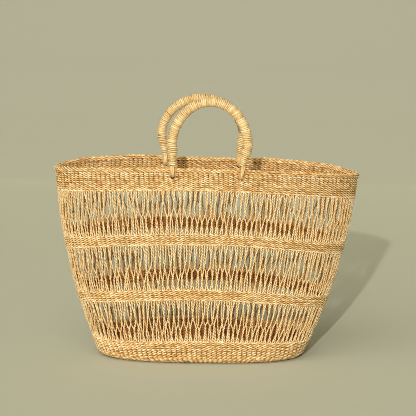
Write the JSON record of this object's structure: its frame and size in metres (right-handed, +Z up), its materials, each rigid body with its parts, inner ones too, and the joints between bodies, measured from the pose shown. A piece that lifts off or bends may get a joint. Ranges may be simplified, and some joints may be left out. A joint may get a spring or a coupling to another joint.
{
  "type": "woven market basket",
  "caption": "Open oval market basket of twined grass with close-woven bands, openwork courses and swinging wrapped handles.",
  "frame": {"origin": "on the resting surface, under the middle of the rim", "axes": "+X along the basket's length, +Y from the front wall to the back wall, +Z up"},
  "size_m": [0.5038, 0.2146, 0.4317],
  "materials": {
    "twined_grass": "natural dried grass, close twined, satin",
    "cord_grass": "natural dried grass, two-ply twisted cords, satin",
    "rim_grass": "natural dried grass, braided, satin",
    "wrap_grass": "natural dried grass, coiled, satin",
    "core_grass": "bundled dried grass, matte"
  },
  "bodies": {
    "basket": {"base_floor": "twined_grass", "base_band": "twined_grass", "lower_openwork": "cord_grass", "lower_band": "twined_grass", "middle_openwork": "cord_grass", "upper_band": "twined_grass", "upper_openwork": "cord_grass", "top_band": "twined_grass", "rim_border": "rim_grass"},
    "front_handle": {"front_handle_core": "core_grass", "front_handle_wrap": "wrap_grass", "front_left_sleeve": "wrap_grass", "front_right_sleeve": "wrap_grass", "front_left_loop": "wrap_grass", "front_right_loop": "wrap_grass"},
    "rear_handle": {"rear_handle_core": "core_grass", "rear_handle_wrap": "wrap_grass", "rear_left_sleeve": "wrap_grass", "rear_right_sleeve": "wrap_grass", "rear_left_loop": "wrap_grass", "rear_right_loop": "wrap_grass"}
  },
  "joints": [
    {"name": "front_handle_swing", "type": "hinge", "parent": "basket", "child": "front_handle", "pos_m": [0, -0.0963, 0.315], "axis": [1, 0, 0], "range_deg": [-52, 140]},
    {"name": "rear_handle_swing", "type": "hinge", "parent": "basket", "child": "rear_handle", "pos_m": [0, 0.0963, 0.315], "axis": [-1, 0, 0], "range_deg": [-52, 140]}
  ]
}
